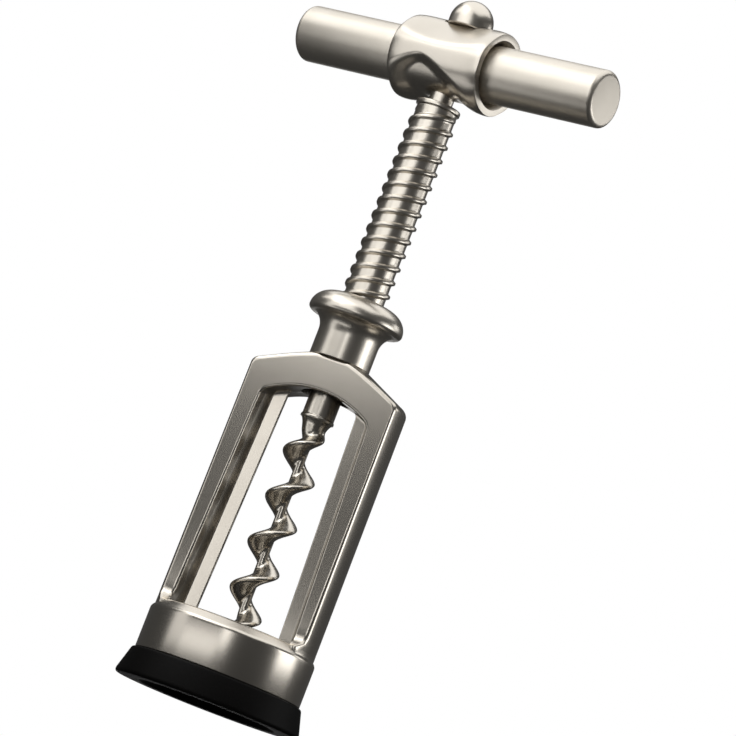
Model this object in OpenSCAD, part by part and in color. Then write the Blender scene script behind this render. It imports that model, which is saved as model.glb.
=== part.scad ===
// Bell corkscrew: a cast bell on a plastic seat ring, a threaded spindle with an auger worm,
// and a T-handle made of a scooped hub and a through bar. Millimetres, +Z up along the spindle.
// The origin is the centre of the underside of the seat ring.

/* [Seat ring] */
// Diameter of the underside of the seat ring
seat_d = 45.8; // [43:0.2:50]
// Diameter at the top edge of the seat ring
seat_top_d = 42.2; // [41.4:0.2:45]
// Height of the seat ring
seat_h = 7; // [5:0.2:9]
// Bore that takes the lip of the bottle
mouth_d = 31.6; // [29:0.2:33]

/* [Bell] */
// Outer diameter of the metal base ring
ring_d = 41; // [40.2:0.2:41.4]
// Height of the straight side of the base ring
ring_h = 10.4; // [8:0.2:15]
// Height of the chamfered shoulder above the base ring
ring_shoulder_h = 2.2; // [1.4:0.1:3]
// Depth of the spigot that sits inside the seat ring
spigot_h = 3.4; // [2:0.2:4.4]
// Diameter of the spigot that sits inside the seat ring
spigot_d = 36.6; // [35.6:0.2:37.6]
// Height of the legs from the base ring shoulder to the cone on top
leg_h = 60.9; // [50:0.1:70]
// Diameter across the outside of the legs at the bottom
leg_d = 39.6; // [38.6:0.2:40]
// Amount by which the legs draw in towards the top, on the diameter
leg_draft = 0.6; // [0:0.1:1.6]
// Front to back thickness of the legs and the arch
yoke_t = 13; // [12:0.2:15]
// Slope of the cone under the neck collar, in degrees
cone_angle = 26; // [22:1:34]
// Rounding of the corner between the legs and the cone
corner_r = 2; // [1:0.1:4]
// Flare where the flat faces run out on the base ring
cove_r = 3.2; // [2:0.1:4]

/* [Window] */
// Width of the window at the front and back faces, half way up
window_w = 29.2; // [28:0.2:30]
// Width of the bevel at each side of the window
bevel_w = 0.9; // [0.5:0.1:1.2]
// Depth of the bevel at each side of the window
bevel_d = 2.1; // [1.4:0.1:2.6]
// Width of the window where the inner ribs begin
pocket_w = 25.8; // [24:0.2:26.6]
// Width between the inner ribs, half way up
rib_gap = 19.2; // [17:0.2:21]
// Depth of the window from each face to the ribs
pocket_depth = 5.3; // [4:0.1:5.6]
// Width of the flat crest of each rib
rib_crest = 0.8; // [0.4:0.1:1.2]
// Lean of each side of the window towards the top, in degrees
window_lean = 2; // [0:0.1:2.4]
// Diameter of the way for the cork through the floor of the bell
cork_way_d = 24; // [22:0.2:25]
// Radius of the arched top of the window
arch_r = 24.5; // [20:0.5:40]
// Metal left between the window arch and the foot of the collar
crown_t = 8.4; // [6:0.2:11]

/* [Neck collar] */
// Diameter of the neck
neck_d = 15; // [14.6:0.2:17]
// Height of the straight neck
neck_h = 6; // [4:0.2:9]
// Diameter of the flange
flange_d = 23.4; // [21:0.2:27]
// Height from the foot of the collar to the middle of the flange rim
flange_z = 11.2; // [9.4:0.2:15]
// Radius of the rounded flange rim
rim_r = 1.2; // [0.8:0.1:1.6]
// Height of the dome above the middle of the rim
dome_h = 4.6; // [3:0.2:6]

/* [Spindle] */
// Outer diameter of the spindle thread
thread_d = 11.4; // [10:0.1:12]
// Depth of the spindle thread
thread_depth = 0.75; // [0.5:0.05:1.1]
// Distance from one ridge of the thread to the next
thread_pitch = 3.5; // [3:0.1:4.5]
// Length of thread that shows between the collar and the stop washer
thread_shown = 49.4; // [40:0.2:60]
// Diameter of the plain shank below the thread
shank_d = 7.8; // [7:0.1:8.4]
// Width of the lip round the lower end of the shank
shank_lip = 0.25; // [0.1:0.05:0.4]
// Length of shank that shows below the window arch
shank_shown = 6.2; // [4:0.2:9]
// Diameter of the plain journal that the stop washer turns on
journal_d = 8.4; // [7:0.1:8.6]
// Diameter of the stud that passes through the hub and the bar
stud_d = 6; // [5:0.1:7]

/* [Worm] */
// Outer diameter of the worm
worm_d = 10.2; // [8.6:0.1:10.8]
// Rise of the worm in one turn
worm_lead = 11.5; // [9:0.1:13]
// Length of the worm from the shank to the point
worm_l = 57; // [50:0.5:64]
// Diameter of the core of the worm
worm_core_d = 2; // [1.6:0.1:3]
// Angle at which the fin of the worm starts, in degrees
worm_start = 110; // [0:5:360]
// Diameter of the neck of the worm below the shank
worm_neck_d = 5.8; // [5:0.1:6.4]
// Diameter of the tang that sits inside the shank
tang_d = 4.4; // [3.6:0.1:5]
// Length of the tang that sits inside the shank
tang_l = 8; // [6:0.2:10]
// Amount by which each end of the cross pin lies below the shank
pin_sink = 0.2; // [0.1:0.05:0.4]
// Diameter of the cross pin that holds the tang
pin_d = 1.8; // [1.4:0.1:2.2]

/* [Handle] */
// Diameter of the handle bar
bar_d = 13.9; // [12.6:0.1:15]
// Length of the handle bar
bar_l = 86.4; // [70:0.2:110]
// Edge chamfer of the handle bar
bar_chamfer = 0.8; // [0.4:0.1:1.4]
// Diameter of the hub
hub_d = 20.8; // [19:0.2:24]
// Length of the hub
hub_l = 25.6; // [22:0.2:30]
// Depth of the four scoops round the hub
scoop_depth = 2.2; // [1:0.1:2.4]
// Width of the plain ring left at each end of the hub
hub_rim = 1; // [0.6:0.1:2]
// Angle of the handle to the window faces, in degrees
handle_yaw = 18.4; // [0:0.2:90]
// Diameter of the dome nut
dome_d = 10.8; // [9:0.1:11.4]
// Depth of the spot face that the dome nut sits on
nut_sink = 1.2; // [0.8:0.1:1.6]
// Height of the straight wall of the dome nut
dome_wall = 1.9; // [0.8:0.1:2.4]

/* [Stop washer] */
// Diameter of the stop washer under the hub
washer_d = 12; // [11:0.1:14]
// Thickness of the stop washer under the hub
washer_t = 1.2; // [0.8:0.1:2]

/* [Fits] */
// Radial clearance of pieces that sit in one another
fit = 0.05; // [0.02:0.01:0.1]
// Radial clearance of the thread in the collar
thread_clear = 0.3; // [0.2:0.05:0.5]
// Gap between the stop washer and the pieces beside it
washer_clear = 0.15; // [0.1:0.05:0.3]

/* [Hidden] */
$fn = 96;
cut = 1;                                        // overshoot of cutting solids
foot_ledge = 0.1;                               // ledge of the cone round the foot of the collar
spot_ledge = 0.5;                               // ledge of the spot face round the dome nut
fin_sharpness = 3.2;                            // higher makes the fin of the worm thinner
thread_starts = 2;                              // ridges of the thread that wind side by side
crest_share = 0.16;                             // flat crest, as a share of the thread's pitch
flank_share = 0.3;                              // both flanks, as a share of the thread's pitch
steel = "#bdb8b0";
bright_steel = "#cfcac2";

// Levels along the spindle
spigot_z = seat_h - spigot_h;
ring_top = seat_h + ring_h;
sill_z = ring_top + ring_shoulder_h;
corner_z = sill_z + leg_h;
neck_foot_r = neck_d / 2 + foot_ledge;
leg_top_r = (leg_d - leg_draft) / 2;
collar_z = corner_z + (leg_top_r - neck_foot_r) * tan(cone_angle);
arch_z = collar_z - crown_t;
window_mid_z = (sill_z + arch_z) / 2;
dome_z = collar_z + flange_z + dome_h;
thread_top = dome_z + thread_shown;
washer_z = thread_top + washer_clear;
hub_bottom = washer_z + washer_t + washer_clear;
hub_z = hub_bottom + hub_d / 2;
shank_z = arch_z - shank_shown;

// Shared radii
bore_r = thread_d / 2 + thread_clear;
core_r = thread_d / 2 - thread_depth;
washer_bore_r = journal_d / 2 + fit;
nut_seat = hub_d / 2 - nut_sink;                // height of the spot face above the bar axis
stud_top = nut_seat + dome_wall + dome_d / 4;
thread_foot = collar_z - thread_pitch / 2;

// Points of an arc in the profile plane
function arc(cx, cy, r, a0, a1, n = 12) =
    [for (i = [0 : n]) [cx + r * cos(a0 + (a1 - a0) * i / n), cy + r * sin(a0 + (a1 - a0) * i / n)]];

module seat_ring() {
    entry = 1.2;                                // chamfer that leads the bottle in
    edge = 0.5;
    color("#1c1b1a") rotate_extrude() polygon([
        [mouth_d / 2 + entry, 0],
        [seat_d / 2 - edge, 0],
        [seat_d / 2, edge],
        [seat_top_d / 2, seat_h],
        [spigot_d / 2 + fit, seat_h],
        [spigot_d / 2 + fit, spigot_z],
        [mouth_d / 2, spigot_z],
        [mouth_d / 2, entry]
    ]);
}

// The round base of the bell, with its spigot, its straight side and its chamfered shoulder
module bell_base() {
    rotate_extrude() polygon([
        [0, spigot_z],
        [spigot_d / 2, spigot_z],
        [spigot_d / 2, seat_h],
        [ring_d / 2, seat_h],
        [ring_d / 2, ring_top],
        [ring_d / 2 - ring_shoulder_h, sill_z],
        [0, sill_z]
    ]);
}

// The turned outline of the legs and the cone on top of them
module yoke_outline() {
    half = (90 - cone_angle) / 2;               // half of the turn between the leg and the cone
    setback = corner_r * tan(half);
    rotate_extrude() polygon(concat(
        [[0, ring_top], [leg_d / 2, ring_top]],
        arc(leg_top_r - corner_r, corner_z - setback, corner_r, 0, 90 - cone_angle),
        [[neck_foot_r, collar_z], [0, collar_z]]
    ));
}

// The slab that gives the legs their flat faces, flared where they run out on the base ring
module yoke_slab() {
    half_t = yoke_t / 2;
    flare = concat(
        [[half_t + cove_r, ring_top]],
        arc(half_t + cove_r, sill_z + cove_r, cove_r, 270, 180),
        [[half_t, collar_z + cut]]
    );
    rotate([90, 0, 90])
        linear_extrude(height = leg_d, center = true)
            polygon(concat(flare, [for (i = [len(flare) - 1 : -1 : 0]) [-flare[i][0], flare[i][1]]]));
}

// One half of the window, from the middle out to one leg, leaning in towards the top
module window_half() {
    half_t = yoke_t / 2;
    reach = half_t + cove_r + cut;
    overlap = rib_gap / 4;                      // so that the leaning halves meet all the way down
    rib_y = half_t - pocket_depth;
    side = [
        [window_w / 2, -reach], [window_w / 2, -half_t], [window_w / 2 - bevel_w, bevel_d - half_t],
        [pocket_w / 2, -rib_y], [rib_gap / 2, -rib_crest / 2]
    ];
    translate([0, 0, window_mid_z]) rotate([0, -window_lean, 0]) translate([0, 0, -leg_h])
        linear_extrude(height = 2 * leg_h) polygon(concat(
            [[-overlap, -reach]],
            side,
            [for (i = [len(side) - 1 : -1 : 0]) [side[i][0], -side[i][1]]],
            [[-overlap, reach]]
        ));
}

module window_sides() {
    window_half();
    mirror([1, 0, 0]) window_half();
}

// The outline of the window seen from the front: straight sides under a shallow arch
module window_arch() {
    depth = leg_d;
    translate([0, 0, arch_z - arch_r]) rotate([90, 0, 0]) cylinder(r = arch_r, h = depth, center = true);
    translate([-leg_d / 2, -depth / 2, sill_z]) cube([leg_d, depth, max(arch_z - arch_r - sill_z, cut)]);
}

module window() {
    intersection() {
        window_sides();
        window_arch();
        translate([-leg_d / 2, -leg_d / 2, sill_z]) cube([leg_d, leg_d, leg_h]);
    }
    // The round way for the cork, from the mouth up between the legs
    translate([0, 0, ring_top - cut]) cylinder(d = cork_way_d, h = ring_shoulder_h + cut);
}

module bell_frame() {
    color(steel) difference() {
        union() {
            bell_base();
            intersection() {
                yoke_outline();
                yoke_slab();
            }
        }
        window();
        translate([0, 0, spigot_z - cut]) cylinder(d = mouth_d, h = ring_top - spigot_z + cut);
        translate([0, 0, arch_z - crown_t]) cylinder(r = bore_r, h = 2 * crown_t + cut);
    }
}

module neck_collar() {
    neck_r = neck_d / 2;
    rim_x = flange_d / 2 - rim_r;
    sweep_w = rim_x - neck_r;
    sweep_h = flange_z - rim_r - neck_h;
    // Concave sweep from the neck out to the underside of the flange
    sweep = [for (i = [0 : 12])
        [neck_r + sweep_w * (1 - cos(90 * i / 12)), neck_h + sweep_h * sin(90 * i / 12)]];
    lip = 0.4;                                  // chamfer at the top of the bore
    color(bright_steel) translate([0, 0, collar_z]) rotate_extrude() polygon(concat(
        [[bore_r, 0], [neck_r, 0]],
        sweep,
        arc(rim_x, flange_z, rim_r, -90, 60),
        [for (i = [1 : 12]) [
            bore_r + lip + (rim_x + rim_r / 2 - bore_r - lip) * cos(90 * i / 12),
            flange_z + rim_r * sin(60) + (dome_h - rim_r * sin(60)) * sin(90 * i / 12)
        ]],
        [[bore_r, flange_z + dome_h - lip]]
    ));
}

// Radius of the thread at a share of one pitch past its crest, from 0 to 1
function thread_r(u) =
    let (d = min(u, 1 - u) * 2, flank = min(max((d - crest_share) / flank_share, 0), 1))
    thread_d / 2 - thread_depth * (1 - cos(180 * flank)) / 2;

// The threaded length, as level rings of points that cross its winding ridges
module thread_body(z0, z1, sides = 24, rings_per_pitch = 7) {
    n = ceil((z1 - z0) / thread_pitch * rings_per_pitch);
    function fade(z) = min(1, min(z - z0, z1 - z) / (thread_pitch / 3));
    points = [for (i = [0 : n], j = [0 : sides - 1])
        let (z = z0 + (z1 - z0) * i / n, a = 360 * j / sides, u = z / thread_pitch - thread_starts * j / sides,
             r = core_r + (thread_r(u - floor(u)) - core_r) * fade(z))
        [r * cos(a), r * sin(a), z]];
    wall = [for (i = [0 : n - 1], j = [0 : sides - 1])
        let (a = i * sides + j, b = i * sides + (j + 1) % sides)
        each [[a, b + sides, b], [a, a + sides, b + sides]]];
    foot = [for (j = [0 : sides - 1]) j];
    head = [for (j = [sides - 1 : -1 : 0]) n * sides + j];
    polyhedron(points, concat(wall, [foot, head]));
}

module spindle() {
    socket_r = tang_d / 2 + fit;
    lip_h = 0.6;
    color(bright_steel) difference() {
        union() {
            thread_body(thread_foot, thread_top);
            translate([0, 0, shank_z]) cylinder(d = shank_d, h = thread_foot - shank_z + cut);
            translate([0, 0, shank_z]) cylinder(r = shank_d / 2 + shank_lip, h = lip_h);
            translate([0, 0, thread_top - cut]) cylinder(d = journal_d, h = hub_bottom - thread_top + cut);
            translate([0, 0, hub_bottom - cut]) cylinder(d = stud_d, h = hub_d / 2 + stud_top + cut);
        }
        translate([0, 0, shank_z - cut]) cylinder(r = socket_r, h = tang_l + cut);
        translate([0, 0, shank_z + tang_l / 2]) rotate([90, 0, 0])
            cylinder(d = pin_d + 2 * fit, h = 2 * shank_d, center = true);
    }
}

// Radius of the worm section at an angle from its fin
function fin_r(a, fin, core) = core + (fin - core) * pow((1 + cos(a)) / 2, fin_sharpness);

// The auger: one fin that winds round a thin core, from a round neck down to a sharp point
module worm_screw(sides = 20, rings_per_turn = 18) {
    neck_l = 1.6;                               // round length before the fin starts
    grow_l = worm_lead * 0.5;                   // length in which the fin grows to its full width
    tip_l = worm_lead * 0.8;                    // length in which the worm runs out to its point
    tip_share = 0.04;                           // size of the section at the point
    n = ceil(worm_l / worm_lead * rings_per_turn);
    tip_x = worm_d * 0.32;                      // the point lies out on the helix, not on the axis
    points = [for (i = [0 : n], j = [0 : sides - 1])
        let (s = worm_l * i / n, turn = worm_start - 360 * s / worm_lead, a = 360 * j / sides,
             grow = min(1, max(0, (s - neck_l) / grow_l)), round = 1 - grow * grow * (3 - 2 * grow),
             end = max(0, (s - worm_l + tip_l) / tip_l), size = 1 - (1 - tip_share) * end * end,
             fin = fin_r(a, worm_d / 2, worm_core_d / 2),
             r = fin * (1 - round) + worm_neck_d / 2 * round,
             x = tip_x * (1 - size) + r * cos(a) * size, y = r * sin(a) * size)
        [x * cos(turn) - y * sin(turn), x * sin(turn) + y * cos(turn), shank_z - s]];
    wall = [for (i = [0 : n - 1], j = [0 : sides - 1])
        let (a = i * sides + j, b = i * sides + (j + 1) % sides)
        each [[a, b, b + sides], [a, b + sides, a + sides]]];
    head = [for (j = [sides - 1 : -1 : 0]) j];
    point = [for (j = [0 : sides - 1]) n * sides + j];
    polyhedron(points, concat(wall, [head, point]));
}

module worm() {
    shoulder_h = 2.6;
    color(bright_steel) difference() {
        union() {
            worm_screw();
            translate([0, 0, shank_z - shoulder_h])
                cylinder(d1 = worm_neck_d, d2 = shank_d, h = shoulder_h);
            translate([0, 0, shank_z - cut]) cylinder(d = tang_d, h = tang_l + cut - fit);
        }
        translate([0, 0, shank_z + tang_l / 2]) rotate([90, 0, 0])
            cylinder(d = pin_d + 2 * fit, h = 2 * shank_d, center = true);
    }
}

module worm_pin() {
    color(steel) translate([0, 0, shank_z + tang_l / 2]) rotate([90, 0, 0])
        cylinder(d = pin_d, h = shank_d - 2 * pin_sink, center = true);
}

module stop_washer() {
    color(steel) translate([0, 0, washer_z]) difference() {
        cylinder(d = washer_d, h = washer_t);
        translate([0, 0, -cut]) cylinder(r = washer_bore_r, h = washer_t + 2 * cut);
    }
}

// Places a piece of the handle: its own +X runs along the bar
module on_handle() {
    translate([0, 0, hub_z]) rotate([0, 0, -handle_yaw]) children();
}

module hub() {
    half = hub_l / 2 - hub_rim;
    scoop_r = (half * half + scoop_depth * scoop_depth) / (2 * scoop_depth);
    mouth = 0.7;                                // chamfer where the bar goes in
    bore_d = bar_d + 2 * fit;
    color(bright_steel) on_handle() difference() {
        rotate([0, 90, 0]) cylinder(d = hub_d, h = hub_l, center = true);
        // Four scoops between the front, top, back and bottom of the hub
        for (turn = [45 : 90 : 315]) rotate([turn, 0, 0])
            translate([0, 0, hub_d / 2 - scoop_depth + scoop_r]) rotate([90, 0, 0])
                cylinder(r = scoop_r, h = hub_d, center = true);
        rotate([0, 90, 0]) cylinder(d = bore_d, h = hub_l + 2 * cut, center = true);
        for (side = [-1, 1]) translate([side * (hub_l / 2 - mouth / 2), 0, 0]) rotate([0, side * 90, 0])
            translate([0, 0, -mouth / 2]) cylinder(d1 = bore_d, d2 = bore_d + 2 * mouth, h = mouth);
        translate([0, 0, -hub_d]) cylinder(d = stud_d + 2 * fit, h = 2 * hub_d);
        translate([0, 0, nut_seat]) cylinder(d = dome_d + 2 * spot_ledge, h = hub_d);
    }
}

module handle_bar() {
    color(bright_steel) on_handle() difference() {
        rotate([0, 90, 0]) rotate_extrude() polygon([
            [0, -bar_l / 2], [bar_d / 2 - bar_chamfer, -bar_l / 2], [bar_d / 2, bar_chamfer - bar_l / 2],
            [bar_d / 2, bar_l / 2 - bar_chamfer], [bar_d / 2 - bar_chamfer, bar_l / 2], [0, bar_l / 2]
        ]);
        translate([0, 0, -bar_d]) cylinder(d = stud_d + 2 * fit, h = 2 * bar_d);
    }
}

module dome_nut() {
    color(bright_steel) on_handle() translate([0, 0, nut_seat]) difference() {
        union() {
            cylinder(d = dome_d, h = dome_wall);
            translate([0, 0, dome_wall]) intersection() {
                sphere(d = dome_d);
                cylinder(d = dome_d + cut, h = dome_d);
            }
        }
        translate([0, 0, -cut]) cylinder(d = stud_d + 2 * fit, h = stud_top - nut_seat + fit + cut);
    }
}

seat_ring();
bell_frame();
neck_collar();
spindle();
worm();
worm_pin();
stop_washer();
hub();
handle_bar();
dome_nut();
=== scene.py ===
# Bell corkscrew: a satin cast bell, turned collar and spindle, auger worm and T-handle
import math

import bmesh
import bpy
from mathutils import Matrix, Vector


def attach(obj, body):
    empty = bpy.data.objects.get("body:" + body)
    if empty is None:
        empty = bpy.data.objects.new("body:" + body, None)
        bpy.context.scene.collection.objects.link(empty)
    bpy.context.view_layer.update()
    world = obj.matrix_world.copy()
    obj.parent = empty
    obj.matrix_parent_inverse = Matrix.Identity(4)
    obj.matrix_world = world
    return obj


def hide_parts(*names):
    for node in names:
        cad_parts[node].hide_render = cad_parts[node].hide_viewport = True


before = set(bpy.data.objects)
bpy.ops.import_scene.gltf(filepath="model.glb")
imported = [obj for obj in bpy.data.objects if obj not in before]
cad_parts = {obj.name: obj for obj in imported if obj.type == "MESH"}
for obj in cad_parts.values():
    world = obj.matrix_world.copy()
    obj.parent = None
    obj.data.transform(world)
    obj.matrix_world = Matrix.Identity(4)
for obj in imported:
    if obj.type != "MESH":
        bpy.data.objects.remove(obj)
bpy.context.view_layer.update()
mm = 0.001
weldMm = 0.002


# Colour, node and mesh helpers

def linear(hexColour):
    parts = [int(hexColour[i:i + 2], 16) / 255 for i in (1, 3, 5)]
    return [c / 12.92 if c <= 0.04045 else ((c + 0.055) / 1.055) ** 2.4 for c in parts] + [1.0]


def addNode(tree, kind, links=None, **settings):
    node = tree.nodes.new(kind)
    for name, value in settings.items():
        if name in node.inputs.keys():
            node.inputs[name].default_value = value
        else:
            setattr(node, name, value)
    for socket, source in (links or {}).items():
        tree.links.new(source, node.inputs[socket])
    return node


def newMaterial(name):
    material = bpy.data.materials.new(name)
    material.use_nodes = True
    material.node_tree.nodes.clear()
    return material, material.node_tree


def makePiece(name, points, faces, sharpAngle=40):
    mesh = bpy.data.meshes.new(name)
    mesh.from_pydata([[c * mm for c in p] for p in points], [], faces)
    work = bmesh.new()
    work.from_mesh(mesh)
    bmesh.ops.remove_doubles(work, verts=work.verts, dist=weldMm * mm)
    bmesh.ops.dissolve_degenerate(work, edges=work.edges, dist=weldMm * mm)
    bmesh.ops.recalc_face_normals(work, faces=work.faces)
    work.to_mesh(mesh)
    work.free()
    mesh.shade_smooth()
    mesh.set_sharp_from_angle(angle=math.radians(sharpAngle))
    piece = bpy.data.objects.new(name, mesh)
    bpy.context.scene.collection.objects.link(piece)
    return piece


def gridPiece(name, rows, sharpAngle=40, joinEnds=False):
    # Each row is a closed loop of points; the end rows are capped or joined to each other
    count = len(rows[0])
    points = [p for row in rows for p in row]
    faces = []
    for i in range(len(rows) if joinEnds else len(rows) - 1):
        a, b = i * count, (i + 1) % len(rows) * count
        faces += [(a + j, a + (j + 1) % count, b + (j + 1) % count, b + j) for j in range(count)]
    if not joinEnds:
        faces.append(list(range(count)))
        faces.append([(len(rows) - 1) * count + j for j in range(count)])
    return makePiece(name, points, faces, sharpAngle)


def ease(start, corner, end, steps):
    # Rounds a corner with a short curve from start to end
    result = []
    for i in range(steps + 1):
        t = i / steps
        result.append([(1 - t) ** 2 * a + 2 * t * (1 - t) * b + t * t * c
                       for a, b, c in zip(start, corner, end)])
    return result


def towards(a, b, distance):
    gap = math.dist(a, b)
    share = min(distance / gap, 0.5) if gap > 1e-9 else 0
    return [p + (q - p) * share for p, q in zip(a, b)]


def roundedOutline(corners, steps=4):
    # A closed outline of (radius, height, rounding) corners
    outline = []
    for i, (r, z, rounding) in enumerate(corners):
        before, after = corners[i - 1][:2], corners[(i + 1) % len(corners)][:2]
        if rounding <= 0:
            outline.append([r, z])
        else:
            start, end = towards((r, z), before, rounding), towards((r, z), after, rounding)
            outline += ease(start, (r, z), end, steps)
    return outline


def lathe(name, outline, sides=128, place=None):
    rows = []
    for r, z in outline:
        ring = [Vector((r * math.cos(2 * math.pi * j / sides), r * math.sin(2 * math.pi * j / sides), z))
                for j in range(sides)]
        rows.append([place @ p for p in ring] if place else ring)
    return gridPiece(name, rows, joinEnds=True)


def weldShape(piece, tool, operation):
    cutter = piece.modifiers.new(operation.title(), "BOOLEAN")
    cutter.operation = operation
    cutter.solver = "EXACT"
    cutter.object = tool
    graph = bpy.context.evaluated_depsgraph_get()
    mesh = bpy.data.meshes.new_from_object(piece.evaluated_get(graph))
    piece.modifiers.clear()
    piece.data = mesh
    bpy.data.objects.remove(tool)


def finishPiece(piece, body, node, material):
    piece.data.materials.clear()
    piece.data.materials.append(material)
    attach(piece, body)
    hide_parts(node)


# Camera at the photograph's viewing angle: below the handle, with the tool leaning to the right

view = {"azimuth": 15.314, "elevation": -8.244, "distance": 944.757, "roll": 21.18,
        "aimHeight": 87.890, "aimRight": 6.76, "lens": 195.83, "sensor": 36, "clip": (0.01, 20)}


def makeCamera():
    a, e, turn = (math.radians(view[k]) for k in ("azimuth", "elevation", "roll"))
    back = Vector((math.sin(a) * math.cos(e), -math.cos(a) * math.cos(e), math.sin(e)))
    right = Vector((math.cos(a), math.sin(a), 0))
    up = back.cross(right)
    aim = Vector((0, 0, view["aimHeight"])) + right * view["aimRight"]
    spot = (aim + back * view["distance"]) * mm
    imageRight = right * math.cos(turn) + up * math.sin(turn)
    imageUp = up * math.cos(turn) - right * math.sin(turn)
    data = bpy.data.cameras.new("photoCamera")
    data.lens = view["lens"]
    data.sensor_width = view["sensor"]
    data.clip_start, data.clip_end = view["clip"]
    camera = bpy.data.objects.new("photoCamera", data)
    camera.matrix_world = Matrix((
        (imageRight.x, imageUp.x, back.x, spot.x),
        (imageRight.y, imageUp.y, back.y, spot.y),
        (imageRight.z, imageUp.z, back.z, spot.z),
        (0, 0, 0, 1)))
    bpy.context.scene.collection.objects.link(camera)
    bpy.context.scene.camera = camera
    return a


cameraTurn = makeCamera()
print("camera placed")


# Materials

# Satin nickel on a zinc casting: tumbled, so its reflections are soft and even
castFinish = {"colour": "#c4beb4", "dark": "#b3ada3", "cloudMm": 9.0}
# Turned and polished steel: faint tool marks round the axis, drawn coarser than real so that they show
turnedFinish = {"colour": "#cac4ba", "dark": "#bdb7ac", "cloudMm": 6.0, "spread": 0.02,
                "markMm": 0.5, "markStretch": 40, "markDepth": 0.0015, "markStrength": 0.35}
# Moulded ABS: near black, with a matt texture from the mould, drawn coarser than real so that it shows
mouldFinish = {"colour": "#050504", "light": "#070606", "roughness": 0.50, "ior": 1.52, "specular": 0.05,
               "grainMm": 0.5, "grainDepth": 0.02, "grainStrength": 0.3}
mixFirst, mixSecond, mixResult = 6, 7, 2  # the colour sockets of a Mix node
handleYaw = math.radians(-18.4)


def metalShader(tree, finish, roughness):
    # Two close tints drift over the metal in cloudy patches
    place = addNode(tree, "ShaderNodeTexCoord")
    cloud = addNode(tree, "ShaderNodeTexNoise", {"Vector": place.outputs["Object"]},
                    Scale=1 / (finish["cloudMm"] * mm), Detail=3.0)
    tint = addNode(tree, "ShaderNodeMix", {"Factor": cloud.outputs["Fac"]}, data_type="RGBA")
    tint.inputs[mixFirst].default_value = linear(finish["dark"])
    tint.inputs[mixSecond].default_value = linear(finish["colour"])
    shader = addNode(tree, "ShaderNodeBsdfPrincipled", {"Base Color": tint.outputs[mixResult]},
                     Metallic=1.0, Roughness=roughness)
    addNode(tree, "ShaderNodeOutputMaterial", {"Surface": shader.outputs["BSDF"]})
    return place, shader


def castMetal(name, roughness):
    material, tree = newMaterial(name)
    metalShader(tree, castFinish, roughness)
    return material


def turnedMetal(name, roughness, axisTurn=(0, 0, 0), markDepth=turnedFinish["markDepth"]):
    # The tool marks are noise that is stretched round the turning axis
    material, tree = newMaterial(name)
    place, shader = metalShader(tree, turnedFinish, roughness)
    lay = addNode(tree, "ShaderNodeMapping", {"Vector": place.outputs["Object"]}, vector_type="TEXTURE")
    lay.inputs["Rotation"].default_value = axisTurn
    lay.inputs["Scale"].default_value = (turnedFinish["markStretch"], turnedFinish["markStretch"], 1)
    marks = addNode(tree, "ShaderNodeTexNoise", {"Vector": lay.outputs["Vector"]},
                    Scale=1 / (turnedFinish["markMm"] * mm), Detail=2.0)
    rough = addNode(tree, "ShaderNodeMapRange", {"Value": marks.outputs["Fac"]})
    rough.inputs["To Min"].default_value = roughness - turnedFinish["spread"]
    rough.inputs["To Max"].default_value = roughness + turnedFinish["spread"]
    tree.links.new(rough.outputs["Result"], shader.inputs["Roughness"])
    if markDepth > 0:
        bump = addNode(tree, "ShaderNodeBump", {"Height": marks.outputs["Fac"]},
                       Strength=turnedFinish["markStrength"], Distance=markDepth * mm)
        tree.links.new(bump.outputs["Normal"], shader.inputs["Normal"])
    return material


def mouldedPlastic():
    material, tree = newMaterial("moulded black ABS")
    place = addNode(tree, "ShaderNodeTexCoord")
    grain = addNode(tree, "ShaderNodeTexNoise", {"Vector": place.outputs["Object"]},
                    Scale=1 / (mouldFinish["grainMm"] * mm), Detail=2.0)
    tint = addNode(tree, "ShaderNodeMix", {"Factor": grain.outputs["Fac"]}, data_type="RGBA")
    tint.inputs[mixFirst].default_value = linear(mouldFinish["colour"])
    tint.inputs[mixSecond].default_value = linear(mouldFinish["light"])
    bump = addNode(tree, "ShaderNodeBump", {"Height": grain.outputs["Fac"]},
                   Strength=mouldFinish["grainStrength"], Distance=mouldFinish["grainDepth"] * mm)
    shader = addNode(tree, "ShaderNodeBsdfPrincipled", {
        "Base Color": tint.outputs[mixResult], "Normal": bump.outputs["Normal"]},
        Roughness=mouldFinish["roughness"], IOR=mouldFinish["ior"])
    shader.inputs["Specular IOR Level"].default_value = mouldFinish["specular"]
    addNode(tree, "ShaderNodeOutputMaterial", {"Surface": shader.outputs["BSDF"]})
    return material


castNickel = castMetal("satin nickel casting", roughness=0.25)  # broad soft planes of light
hubNickel = castMetal("tumbled nickel hub", roughness=0.28)  # a little softer than the bell
turnedSteel = turnedMetal("turned bright steel", roughness=0.30)  # streaks of light along the axis
spindleSteel = turnedMetal("rolled spindle steel", roughness=0.29)  # a glint on each crest
wormSteel = turnedMetal("ground worm steel", roughness=0.25, markDepth=0)  # clear glints with no marks
barAxis = (0, math.radians(90), handleYaw)
barSteel = turnedMetal("satin handle steel", roughness=0.40, axisTurn=barAxis)  # a wide dull sheen
blackPlastic = mouldedPlastic()
print("materials made")


# Seat ring

seat = {"bottom": 45.8, "top": 42.2, "height": 7.0, "mouth": 31.6, "entry": 1.2,
        "recess": 36.7, "recessZ": 3.6, "bevelIn": 0.3, "bevelUp": 0.7,
        "topEdge": 0.6, "footEdge": 0.5, "bevelEdge": 0.4, "fineEdge": 0.2}


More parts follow.
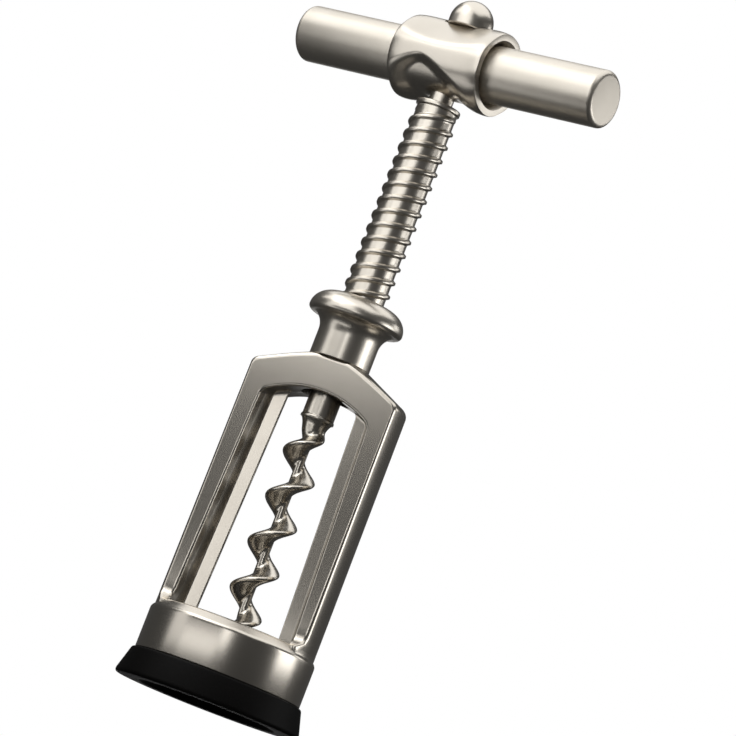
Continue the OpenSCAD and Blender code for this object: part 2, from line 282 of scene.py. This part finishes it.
def makeSeat():
    outline = roundedOutline([
        (seat["mouth"] / 2 + seat["entry"], 0, seat["fineEdge"]),
        (seat["bottom"] / 2 - seat["bevelIn"], 0, seat["footEdge"]),
        (seat["bottom"] / 2, seat["bevelUp"], seat["bevelEdge"]),
        (seat["top"] / 2, seat["height"], seat["topEdge"]),
        (seat["recess"] / 2, seat["height"], seat["fineEdge"]),
        (seat["recess"] / 2, seat["recessZ"], 0),
        (seat["mouth"] / 2, seat["recessZ"], 0),
        (seat["mouth"] / 2, seat["entry"], seat["fineEdge"])])
    finishPiece(lathe("seatRing", outline), "bell", "seat_ring", blackPlastic)


makeSeat()
print("seat ring made")


# Bell casting

bell = {"spigotZ": 3.6, "seatZ": 7.0, "spigot": 36.6, "mouth": 31.6, "ring": 41.0, "ringTop": 17.4,
        "sill": 19.6, "shoulder": 2.2, "corkWay": 24.0, "legFoot": 39.6, "legTop": 39.0, "legSink": 1.6,
        "cornerZ": 80.5, "cornerR": 2.0, "coneTurn": 26.0, "neckFoot": 7.6, "halfT": 6.5, "cove": 3.2,
        "windowW": 29.2, "bevelW": 0.9, "bevelD": 2.1, "pocketW": 25.8, "ribGap": 19.2, "ribY": 1.2,
        "crestY": 0.4, "lean": 2.0, "archR": 24.5, "crown": 8.4, "bore": 6.0, "boreZ": (70, 95),
        "outerEdge": 0.9, "innerEdge": 0.6, "ribEdge": 0.2, "archCorner": 1.4, "ringRound": 0.7,
        "sillRound": 0.5, "spigotEdge": 0.2, "ringEdge": 0.35, "corkEdge": 0.3,
        "support": 0.12, "ringSupport": 0.15, "sharp": 50}
coneRise = math.tan(math.radians(bell["coneTurn"]))
bell["collarZ"] = bell["cornerZ"] + (bell["legTop"] / 2 - bell["neckFoot"]) * coneRise
bell["archZ"] = bell["collarZ"] - bell["crown"]
bell["midZ"] = (bell["sill"] + bell["archZ"]) / 2


def halfThickness(z):
    # The flat faces flare out in a cove where they meet the base ring
    rise = z - bell["sill"]
    if rise >= bell["cove"]:
        return bell["halfT"]
    drop = bell["cove"] - max(rise, 0)
    return bell["halfT"] + bell["cove"] - math.sqrt(bell["cove"] ** 2 - drop ** 2)


def outerStations(legSteps, cornerSteps, coneSteps, topSteps):
    # (radius, height, share towards the middle) up the leg, round the corner and along the cone
    foot = bell["sill"] - bell["legSink"]
    footR, topR = bell["legFoot"] / 2, bell["legTop"] / 2
    setback = bell["cornerR"] * math.tan(math.radians((90 - bell["coneTurn"]) / 2))
    legEnd = bell["cornerZ"] - setback
    stations = []
    for i in range(legSteps):
        t = i / legSteps
        z = foot + (legEnd - foot) * t
        r = footR + (topR - footR) * (z - bell["ringTop"]) / (legEnd - bell["ringTop"])
        stations.append((r, z, 0))
    for i in range(cornerSteps):
        a = math.radians((90 - bell["coneTurn"]) * i / (cornerSteps - 1))
        stations.append((topR - bell["cornerR"] + bell["cornerR"] * math.cos(a),
                         legEnd + bell["cornerR"] * math.sin(a), 0))
    startR, startZ = stations[-1][:2]
    for i in range(1, coneSteps + 1):
        t = i / coneSteps
        stations.append((startR + (bell["neckFoot"] - startR) * t,
                         startZ + (bell["collarZ"] - startZ) * t, 0))
    for i in range(1, topSteps + 1):
        stations.append((bell["neckFoot"], bell["collarZ"], i / topSteps))
    return stations


def archHeight(x):
    return bell["archZ"] - bell["archR"] + math.sqrt(bell["archR"] ** 2 - x * x)


def wallX(baseX, z):
    return baseX - (z - bell["midZ"]) * math.tan(math.radians(bell["lean"]))


def innerColumn(baseX, legSteps, cornerSteps, archSteps):
    # One line up the window wall, round the corner and along the arch to the middle
    foot = bell["sill"] - bell["legSink"]
    mitreX, mitreRounds = baseX, 12
    for _ in range(mitreRounds):
        mitreX = wallX(baseX, archHeight(mitreX))
    mitreZ = archHeight(mitreX)
    legEnd = mitreZ - bell["archCorner"]
    line = []
    for i in range(legSteps):
        z = foot + (legEnd - foot) * i / legSteps
        line.append((wallX(baseX, z), z))
    archX = mitreX - bell["archCorner"]
    bend = ease((wallX(baseX, legEnd), legEnd), (mitreX, mitreZ), (archX, archHeight(archX)),
                cornerSteps - 1)
    line += [tuple(p) for p in bend]
    for i in range(1, archSteps + 1):
        x = archX * (1 - i / archSteps)
        line.append((x, archHeight(x)))
    return line


def makeYoke():
    legSteps, cornerSteps, coneSteps, topSteps = 44, 9, 18, 5
    acrossOuter, edgeSteps, flatSteps, rimSteps = 14, 5, 5, 3
    outer = outerStations(legSteps, cornerSteps, coneSteps, topSteps)
    archSteps = coneSteps + topSteps
    # Corners of the window wall from front to back, with samples between them
    bevelX, bevelY = bell["windowW"] / 2 - bell["bevelW"], bell["halfT"] - bell["bevelD"]
    front = [(-bell["halfT"], bell["windowW"] / 2), (-bevelY, bevelX), (-bell["ribY"], bell["pocketW"] / 2),
             (-bell["crestY"], bell["ribGap"] / 2)]
    wall = front + [(-y, x) for y, x in front[::-1]]
    columns = {x: innerColumn(x, legSteps, cornerSteps, archSteps) for _, x in wall}

    def halfRow(k):
        r, z, share = outer[k]
        thick = halfThickness(z)
        outerAt = lambda y: [math.sqrt(max(r * r - y * y, 0)) * (1 - share), y, z]
        edge = bell["outerEdge"]
        span = 2 * thick - 2 * edge
        row = [outerAt(-thick + edge + span * i / acrossOuter) for i in range(acrossOuter + 1)]

        def inner(index):
            y, baseX = wall[index]
            x, height = columns[baseX][k]
            if index in (0, len(wall) - 1):
                y = math.copysign(halfThickness(height), y)
            return [x, y, height]

        def flat(side):
            # Rounded outer edge, flat face and rounded window edge on one side
            corner = outerAt(side * thick)
            rim = inner(len(wall) - 1 if side > 0 else 0)
            wallNext = inner(len(wall) - 2 if side > 0 else 1)
            start = towards(corner, rim, edge)
            stop = towards(rim, corner, bell["innerEdge"])
            points = ease(outerAt(side * (thick - edge)), corner, start, edgeSteps)[1:]
            near, far = towards(start, stop, bell["support"]), towards(stop, start, bell["support"])
            for i in range(flatSteps):
                p = [a + (b - a) * i / (flatSteps - 1) for a, b in zip(near, far)]
                p[1] = side * halfThickness(p[2])
                points.append(p)
            points += ease(stop, rim, towards(rim, wallNext, bell["innerEdge"]), rimSteps)
            return points

        row += flat(1)
        for i in range(len(wall) - 2, 0, -1):
            here, before, after = inner(i), inner(i + 1), inner(i - 1)
            start = towards(here, before, bell["ribEdge"])
            row += [towards(row[-1], start, bell["support"]), towards(start, row[-1], bell["support"])]
            row += ease(start, here, towards(here, after, bell["ribEdge"]), steps=2)
        front = flat(-1)[::-1]
        row += [towards(row[-1], front[0], bell["support"]), towards(front[0], row[-1], bell["support"])]
        row += front
        return row

    half = [halfRow(k) for k in range(len(outer))]
    left = [[[-x, y, z] for x, y, z in row] for row in half[:-1]]
    return gridPiece("bellCasting", left + half[::-1], sharpAngle=bell["sharp"])


def makeBell():
    yoke = makeYoke()
    ringR, spigotR, mouthR, corkR = (bell[k] / 2 for k in ("ring", "spigot", "mouth", "corkWay"))
    sill, ringTop, seatZ, spigotZ = (bell[k] for k in ("sill", "ringTop", "seatZ", "spigotZ"))
    ringRound, sillRound, support = bell["ringRound"], bell["sillRound"], bell["ringSupport"]
    low, high = (ringR, ringTop), (ringR - bell["shoulder"], sill)
    shoulder = ease((ringR, ringTop - ringRound), low, towards(low, high, ringRound), steps=6)
    shoulder += [towards(low, high, ringRound + support), towards(high, low, sillRound + support)]
    shoulder += ease(towards(high, low, sillRound), high, (high[0] - sillRound, sill), steps=5)
    under = roundedOutline([
        (mouthR, spigotZ, bell["spigotEdge"]), (spigotR, spigotZ, bell["spigotEdge"]), (spigotR, seatZ, 0),
        (ringR, seatZ, bell["ringEdge"]), (ringR, ringTop - ringRound, 0)], steps=3)
    inside = [[corkR + bell["corkEdge"], sill], [corkR, sill - bell["corkEdge"]], [corkR, ringTop],
              [mouthR, ringTop]]
    weldShape(yoke, lathe("bellBase", under + shoulder[1:] + inside, sides=192), "UNION")
    boreLow, boreHigh = bell["boreZ"]
    bore = [[0, boreLow], [bell["bore"], boreLow], [bell["bore"], boreHigh], [0, boreHigh]]
    weldShape(yoke, lathe("bellBore", bore, sides=96), "DIFFERENCE")
    yoke.data.shade_smooth()
    yoke.data.set_sharp_from_angle(angle=math.radians(bell["sharp"]))
    finishPiece(yoke, "bell", "bell_frame", castNickel)


makeBell()
print("bell casting made")


# Neck collar

collar = {"neck": 15.0, "neckH": 6.0, "flange": 23.4, "flangeZ": 11.2, "rim": 1.2, "dome": 4.6,
          "bore": 12.0, "lip": 0.5, "footEdge": 0.15}


def makeCollar():
    sweepSteps, rimSteps, domeSteps = 20, 9, 18
    neckR, boreR, edge, rim = collar["neck"] / 2, collar["bore"] / 2, collar["footEdge"], collar["rim"]
    rimX = collar["flange"] / 2 - rim
    base = bell["collarZ"]
    neckTop, flangeZ = base + collar["neckH"], base + collar["flangeZ"]
    outline = [[boreR, base], [neckR - edge, base], [neckR, base + edge]]
    sweepH = collar["flangeZ"] - rim - collar["neckH"]
    for i in range(sweepSteps + 1):
        a = math.radians(90 * i / sweepSteps)
        outline.append([neckR + (rimX - neckR) * (1 - math.cos(a)), neckTop + sweepH * math.sin(a)])
    for i in range(1, rimSteps + 1):
        a = math.radians(-90 + 90 * i / rimSteps)
        outline.append([rimX + rim * math.cos(a), flangeZ + rim * math.sin(a)])
    startR, startZ = outline[-1]
    topR = boreR + collar["lip"]
    topZ = flangeZ + collar["dome"]
    for i in range(1, domeSteps + 1):
        a = math.radians(90 * i / domeSteps)
        outline.append([topR + (startR - topR) * math.cos(a), startZ + (topZ - startZ) * math.sin(a)])
    outline.append([boreR, topZ - collar["lip"]])
    finishPiece(lathe("neckCollar", outline, sides=144), "bell", "neck_collar", turnedSteel)


makeCollar()
print("collar made")


# Spindle: shank, rolled thread, journal and stud in one piece

spindle = {"thread": 11.35, "depth": 0.72, "crest": 0.16, "flank": 0.3, "pitch": 3.5, "starts": 2,
           "runIn": 1 / 3, "runOut": 1.2, "shown": 49.4, "shank": 7.8, "shankShown": 6.2,
           "lip": 0.25, "lipH": 0.6, "lipEdge": 0.2, "lipFall": 0.3, "fallEdge": 0.1,
           "journal": 8.4, "washer": 1.2, "gap": 0.15, "stud": 6.0, "studL": 22.0,
           "sides": 72, "perPitch": 18}
spindle["foot"] = bell["collarZ"] - spindle["pitch"] / 2
spindle["top"] = bell["collarZ"] + collar["flangeZ"] + collar["dome"] + spindle["shown"]
spindle["shankZ"] = bell["archZ"] - spindle["shankShown"]
spindle["hubBottom"] = spindle["top"] + 2 * spindle["gap"] + spindle["washer"]


def threadRadius(u):
    # Flat crest, smooth flank and flat root over one pitch
    d = min(u, 1 - u) * 2
    flank = min(max((d - spindle["crest"]) / spindle["flank"], 0), 1)
    return spindle["thread"] / 2 - spindle["depth"] * (1 - math.cos(math.pi * flank)) / 2


def makeSpindle():
    sides, pitch, starts = spindle["sides"], spindle["pitch"], spindle["starts"]
    lead, perTurn = pitch * starts, spindle["perPitch"] * starts
    foot, top = spindle["foot"], spindle["top"]
    coreR = spindle["thread"] / 2 - spindle["depth"]
    turns = [(math.cos(2 * math.pi * j / sides), math.sin(2 * math.pi * j / sides)) for j in range(sides)]
    points, faces = [], []

    def ring(r, z):
        start = len(points)
        points.extend([(r * c, r * s, z) for c, s in turns])
        return [start + j for j in range(sides)]

    def skin(low, high):
        faces.extend([(low[j], low[(j + 1) % sides], high[(j + 1) % sides], high[j]) for j in range(sides)])

    shankR, shankZ, lipEdge = spindle["shank"] / 2, spindle["shankZ"], spindle["lipEdge"]
    lipR, lipTop = shankR + spindle["lip"], shankZ + spindle["lipH"]
    below = roundedOutline([
        (shankR - lipEdge, shankZ, 0), (lipR, shankZ, lipEdge), (lipR, lipTop, lipEdge),
        (shankR, lipTop + spindle["lipFall"], spindle["fallEdge"]), (shankR, foot, 0), (coreR, foot, 0)],
        steps=3)
    rings = [ring(r, z) for r, z in below]
    for low, high in zip(rings, rings[1:]):
        skin(low, high)
    faces.append(rings[0])
    # Rows of the thread climb with the lead, so its crests follow the mesh
    last = perTurn * (math.ceil((top - foot) / lead) + 2)
    start = len(points)
    for i in range(last + 1):
        for j, (c, s) in enumerate(turns):
            z = min(max(foot - lead + lead * (i / perTurn + j / sides), foot), top)
            fade = min(1, (z - foot) / (pitch * spindle["runIn"]), (top - z) / (pitch * spindle["runOut"]))
            phase = (foot - lead) / pitch + i / spindle["perPitch"]
            r = coreR + (threadRadius(phase - math.floor(phase)) - coreR) * fade
            points.append((r * c, r * s, z))
    at = lambda i, j: start + (i * sides + j if j < sides else min(i + perTurn, last) * sides)
    for i in range(last):
        faces.extend([(at(i, j), at(i, j + 1), at(i + 1, j + 1), at(i + 1, j)) for j in range(sides)])
    # The journal carries the washer, and the stud goes up through the hub into the nut
    journalR, studR, journalTop = spindle["journal"] / 2, spindle["stud"] / 2, spindle["hubBottom"]
    above = [(coreR, top), (journalR, top), (journalR, journalTop), (studR, journalTop),
             (studR, journalTop + spindle["studL"])]
    rings = [ring(r, z) for r, z in above]
    for low, high in zip(rings, rings[1:]):
        skin(low, high)
    faces.append(rings[-1])
    piece = makePiece("threadedSpindle", points, faces, sharpAngle=45)
    finishPiece(piece, "screw", "spindle", spindleSteel)


makeSpindle()
print("spindle made")


# Worm: one fin that winds round a thin core down to a sharp point

worm = {"outer": 10.2, "lead": 11.5, "length": 57.0, "core": 2.0, "neck": 5.8, "neckL": 1.6,
        "shoulder": 2.6, "shoulderStep": 0.1, "grow": 0.5, "tip": 0.8, "tipOut": 0.32, "tipThin": 0.97,
        "start": 110, "fin": 3.2, "tang": 4.4, "tangL": 8.0, "tangGap": 0.05, "tangEdge": 0.2,
        "sides": 48, "perTurn": 34}


def makeWorm():
    sides = worm["sides"]
    shankR = spindle["shank"] / 2
    tipL = worm["lead"] * worm["tip"]
    tipX = worm["outer"] * worm["tipOut"]
    count = math.ceil(worm["length"] / worm["lead"] * worm["perTurn"])
    tangR, tangTop, edge = worm["tang"] / 2, worm["tangL"] - worm["tangGap"], worm["tangEdge"]
    rows = []
    for r, rise in ((tangR - edge, tangTop), (tangR, tangTop - edge), (tangR, 0.0)):
        rows.append([(r * math.cos(2 * math.pi * j / sides), r * math.sin(2 * math.pi * j / sides),
                      spindle["shankZ"] + rise) for j in range(sides)])
    for i in range(count + 1):
        s = worm["length"] * i / count
        turn = math.radians(worm["start"]) - 2 * math.pi * s / worm["lead"]
        grow = min(1, max(0, (s - worm["neckL"]) / (worm["lead"] * worm["grow"])))
        plain = 1 - grow * grow * (3 - 2 * grow)
        end = max(0, (s - worm["length"] + tipL) / tipL)
        size = 1 - worm["tipThin"] * end * end
        fall = max(0, 1 - s / worm["shoulder"])
        neckR = worm["neck"] / 2 + (shankR - worm["shoulderStep"] - worm["neck"] / 2) * fall * fall
        row = []
        for j in range(sides):
            a = 2 * math.pi * j / sides
            fin = (worm["core"] + (worm["outer"] - worm["core"]) * ((1 + math.cos(a)) / 2) ** worm["fin"]) / 2
            r = fin * (1 - plain) + neckR * plain
            x = tipX * (1 - size) + r * math.cos(a) * size
            y = r * math.sin(a) * size
            row.append((x * math.cos(turn) - y * math.sin(turn), x * math.sin(turn) + y * math.cos(turn),
                        spindle["shankZ"] - s))
        rows.append(row)
    finishPiece(gridPiece("augerWorm", rows, sharpAngle=60), "screw", "worm", wormSteel)


pin = {"across": 1.8, "inset": 0.2, "edge": 0.15}


def makeWormPin():
    r, half = pin["across"] / 2, spindle["shank"] / 2 - pin["inset"]
    middle = Matrix.Translation((0, 0, spindle["shankZ"] + worm["tangL"] / 2))
    place = middle @ Matrix.Rotation(math.radians(90), 4, "X")
    outline = roundedOutline([(0, -half, 0), (r, -half, pin["edge"]), (r, half, pin["edge"]), (0, half, 0)],
                             steps=3)
    piece = lathe("wormPin", outline, sides=32, place=place)
    finishPiece(piece, "screw", "worm_pin", wormSteel)


makeWorm()
makeWormPin()
print("worm made")


# Stop washer under the hub

washer = {"outer": 11.0, "bore": 8.5, "edge": 0.3}


def makeWasher():
    low = spindle["top"] + spindle["gap"]
    high = low + spindle["washer"]
    innerR, outerR, edge = washer["bore"] / 2, washer["outer"] / 2, washer["edge"]
    outline = roundedOutline([(innerR, low, edge), (outerR, low, edge), (outerR, high, edge),
                              (innerR, high, edge)], steps=3)
    finishPiece(lathe("stopWasher", outline, sides=96), "stop", "stop_washer", turnedSteel)


makeWasher()
print("washer made")


# T-handle: hollowed hub, through bar and dome nut

hub = {"across": 20.8, "length": 25.6, "fit": 0.05, "mouth": 1.4, "endReach": 4.0, "endDrop": 0.45,
       "hollowTurn": 148, "hollowTop": 6.85, "hollowSlope": 0.40, "hollowNose": 0.87, "hollowSlant": 0.39,
       "hollowRim": 0.8, "sleeve": 1.5, "sleeveBlend": 0.4, "scoopDepth": 1.5, "scoopHalf": 12.6,
       "scoopTurn": 45, "scoopBlend": 1.3, "leastFacing": 0.3, "nutSink": 1.2, "nutRoom": 0.5,
       "sides": 240, "rings": 120}
hub["z"] = spindle["hubBottom"] + hub["across"] / 2
hub["nutSeat"] = hub["across"] / 2 - hub["nutSink"]
handlePlace = Matrix.Translation((0, 0, hub["z"])) @ Matrix.Rotation(handleYaw, 4, "Z")
alongBar = handlePlace @ Matrix.Rotation(math.radians(90), 4, "Y")


def softMin(a, b, blend):
    h = max(blend - abs(a - b), 0) / blend
    return min(a, b) - h * h * blend / 4


def hubRadius(x, angle):
    # The angle runs from the top of the hub round the bar, over the front to the underside
    hubR = hub["across"] / 2
    r = hubR
    # A hollow runs slantwise under the hub from front to back and leaves a sleeve round the bar
    nose = hub["hollowNose"]
    along = x + hub["hollowSlant"] * hubR * math.sin(angle)
    roof = hub["hollowTop"] + math.hypot(hub["hollowSlope"] * along, nose) - nose
    facing = math.cos(max(0, abs(angle - math.pi) - math.radians(180 - hub["hollowTurn"])))
    if facing > hub["leastFacing"]:
        r = softMin(r, roof / facing, hub["hollowRim"])
    r = -softMin(-r, -(bar["across"] / 2 + hub["sleeve"]), hub["sleeveBlend"])
    # Two shallow scoops meet along the top
    depth, half = hub["scoopDepth"], hub["scoopHalf"]
    scoopR = (half * half + depth * depth) / (2 * depth)
    floor = hubR - depth + scoopR - math.sqrt(scoopR ** 2 - x * x)
    for turn in (hub["scoopTurn"], 360 - hub["scoopTurn"]):
        facing = math.cos(angle - math.radians(turn))
        if facing > hub["leastFacing"]:
            r = softMin(r, floor / facing, hub["scoopBlend"])
    # The spot face under the dome nut
    upward = math.cos(angle)
    reach = math.hypot(x, r * math.sin(angle))
    if upward > 0 and reach < nut["across"] / 2 + hub["nutRoom"] and r * upward > hub["nutSeat"]:
        r = hub["nutSeat"] / upward
    return r


def makeHub():
    sides, count = hub["sides"], hub["rings"]
    half, boreR, mouth = hub["length"] / 2, bar["across"] / 2 + hub["fit"], hub["mouth"]
    rows = []

    def ring(x, radius):
        row = []
        for j in range(sides):
            a = 2 * math.pi * j / sides
            r = radius(a)
            row.append(handlePlace @ Vector((x, -r * math.sin(a), r * math.cos(a))))
        rows.append(row)

    # Rings lie closer together towards the rounded ends
    for i in range(count + 1):
        x = half * math.sin(math.pi * (i / count - 0.5))
        u = max(0, abs(x) - half + hub["endReach"]) / hub["endReach"]
        fall = hub["endDrop"] * (1 - math.sqrt(max(0, 1 - u * u)))
        ring(x, lambda t: hubRadius(x, t) - fall)
    # The bore is countersunk at both ends
    for x, r in ((half, boreR + mouth), (half - mouth, boreR), (mouth - half, boreR), (-half, boreR + mouth)):
        ring(x, lambda t: r)
    piece = gridPiece("handleHub", rows, sharpAngle=45, joinEnds=True)
    finishPiece(piece, "screw", "hub", hubNickel)


bar = {"across": 13.9, "length": 86.4, "chamfer": 0.8, "edge": 0.5}


def makeBar():
    half, r, c, edge = bar["length"] / 2, bar["across"] / 2, bar["chamfer"], bar["edge"]
    outline = roundedOutline([(0, -half, 0), (r - c, -half, edge), (r, -half + c, edge),
                              (r, half - c, edge), (r - c, half, edge), (0, half, 0)], steps=4)
    piece = lathe("handleBar", outline, sides=128, place=alongBar)
    finishPiece(piece, "screw", "handle_bar", barSteel)


nut = {"across": 10.8, "wall": 1.9, "edge": 0.25, "domeStep": 5}


def makeNut():
    r, edge = nut["across"] / 2, nut["edge"]
    outline = [[0, 0], [r - edge, 0], [r, edge]]
    for degrees in range(0, 91, nut["domeStep"]):
        a = math.radians(degrees)
        outline.append([r * math.cos(a), nut["wall"] + r * math.sin(a)])
    outline[-1][0] = 0
    place = handlePlace @ Matrix.Translation((0, 0, hub["nutSeat"]))
    piece = lathe("domeNut", outline, sides=96, place=place)
    finishPiece(piece, "screw", "dome_nut", turnedSteel)


makeHub()
makeBar()
makeNut()
print("handle made")


# Pale floor, soft studio light and white background

studio = {"floor": 3.0, "floorColour": "#f2f1ef", "fill": 0.07, "fillBelow": 0.05, "tableDip": -0.35,
          "backdropFull": 5, "backdropEnd": 11, "backdropWhite": 1.0}
# Upright panels: turn from the camera, distance, lower and upper edge, width and brightness
panels = {
    "upperLeftSoftbox": (-32, 160, 122, 330, 115, 1.75),
    "archSoftbox": (-38, 160, 108, 121, 84, 1.9),
    "middleLeftCard": (-34, 160, 30, 105, 96, 0.07),
    "lowerLeftSoftbox": (-37, 110, 3, 24, 96, 1.85),
    "cameraSoftbox": (-8, 1200, 40, 350, 240, 3.1),
    "rightSoftbox": (82, 400, 30, 190, 230, 3.4),
    "windowWallCard": (109, 400, 60, 172, 110, 0.45),
    "handleEndCard": (113, 400, 175, 300, 110, 2.4),
    "leftStripSoftbox": (-66, 150, 102, 240, 64, 1.5),
    "lowStripSoftbox": (-71, 110, 5, 100, 40, 1.2),
    "leftTopSoftbox": (-80, 330, 300, 680, 440, 1.9),
}
overhead = {"height": 1500, "width": 2500, "glow": 1.55}


def makeFloor():
    half = studio["floor"] / 2
    corners = [(-half, -half, 0), (half, -half, 0), (half, half, 0), (-half, half, 0)]
    mesh = bpy.data.meshes.new("studioFloor")
    mesh.from_pydata(corners, [], [(0, 1, 2, 3)])
    floor = bpy.data.objects.new("studioFloor", mesh)
    material, tree = newMaterial("pale studio floor")
    # Only its upper side shows, because the photograph looks up from below the level of the seat
    side = addNode(tree, "ShaderNodeNewGeometry")
    clear = addNode(tree, "ShaderNodeBsdfTransparent")
    matt = addNode(tree, "ShaderNodeBsdfDiffuse", Color=linear(studio["floorColour"]))
    mixed = addNode(tree, "ShaderNodeMixShader", {
        0: side.outputs["Backfacing"], 1: matt.outputs[0], 2: clear.outputs[0]})
    addNode(tree, "ShaderNodeOutputMaterial", {"Surface": mixed.outputs[0]})
    mesh.materials.append(material)
    floor.visible_glossy = False
    bpy.context.scene.collection.objects.link(floor)


def makeLamps():
    for name, (turn, distance, low, high, width, glow) in panels.items():
        a = cameraTurn + math.radians(turn)
        away = Vector((math.sin(a), -math.cos(a), 0))
        height = high - low
        data = bpy.data.lights.new(name, "AREA")
        data.shape = "RECTANGLE"
        data.size, data.size_y = width * mm, height * mm
        data.energy = glow * math.pi * width * height * mm * mm
        light = bpy.data.objects.new(name, data)
        light.location = (away * distance + Vector((0, 0, (low + high) / 2))) * mm
        light.rotation_mode = "QUATERNION"
        light.rotation_quaternion = (-away).to_track_quat("-Z", "Y")
        bpy.context.scene.collection.objects.link(light)
    data = bpy.data.lights.new("overheadSoftbox", "AREA")
    data.size = overhead["width"] * mm
    data.energy = overhead["glow"] * math.pi * data.size ** 2
    light = bpy.data.objects.new("overheadSoftbox", data)
    light.location = (0, 0, overhead["height"] * mm)
    bpy.context.scene.collection.objects.link(light)


def makeWorld():
    world = bpy.data.worlds.new("white studio")
    bpy.context.scene.world = world
    world.use_nodes = True
    # Lit by the rays that the metal itself sends out, which lessens speckle on the dark sides
    world.cycles.sampling_method = "NONE"
    tree = world.node_tree
    tree.nodes.clear()
    rays = addNode(tree, "ShaderNodeLightPath")
    place = addNode(tree, "ShaderNodeTexCoord")
    # The white backdrop stands behind the tool; metal and clear pieces see it there
    behind = addNode(tree, "ShaderNodeVectorMath", {0: place.outputs["Generated"]}, operation="DOT_PRODUCT")
    behind.inputs[1].default_value = (-math.sin(cameraTurn), math.cos(cameraTurn), 0)
    backdrop = addNode(tree, "ShaderNodeMapRange", {"Value": behind.outputs["Value"]})
    for socket, degrees in (("From Min", studio["backdropEnd"]), ("From Max", studio["backdropFull"])):
        backdrop.inputs[socket].default_value = math.cos(math.radians(degrees))
    mirrored = addNode(tree, "ShaderNodeMath", {
        0: rays.outputs["Is Glossy Ray"], 1: rays.outputs["Is Transmission Ray"]}, operation="MAXIMUM")
    shown = addNode(tree, "ShaderNodeMath", {
        0: mirrored.outputs[0], 1: backdrop.outputs["Result"]}, operation="MULTIPLY")
    pale = addNode(tree, "ShaderNodeMath", {
        0: rays.outputs["Is Camera Ray"], 1: shown.outputs[0]}, operation="MAXIMUM")
    # The rest of the room is dim, and a little different below, where the table is
    axes = addNode(tree, "ShaderNodeSeparateXYZ", {"Vector": place.outputs["Generated"]})
    level = addNode(tree, "ShaderNodeMapRange", {"Value": axes.outputs["Z"]})
    ramp = {"From Min": studio["tableDip"], "From Max": 0.0,
            "To Min": studio["fillBelow"], "To Max": studio["fill"]}
    for socket, value in ramp.items():
        level.inputs[socket].default_value = value
    fill = addNode(tree, "ShaderNodeBackground", {"Strength": level.outputs["Result"]}, Color=(1, 1, 1, 1))
    white = addNode(tree, "ShaderNodeBackground", Color=(1, 1, 1, 1), Strength=studio["backdropWhite"])
    mixed = addNode(tree, "ShaderNodeMixShader", {
        0: pale.outputs[0], 1: fill.outputs[0], 2: white.outputs[0]})
    addNode(tree, "ShaderNodeOutputWorld", {"Surface": mixed.outputs[0]})


makeFloor()
makeLamps()
makeWorld()
bpy.context.scene.view_settings.view_transform = "Standard"
print("studio made")
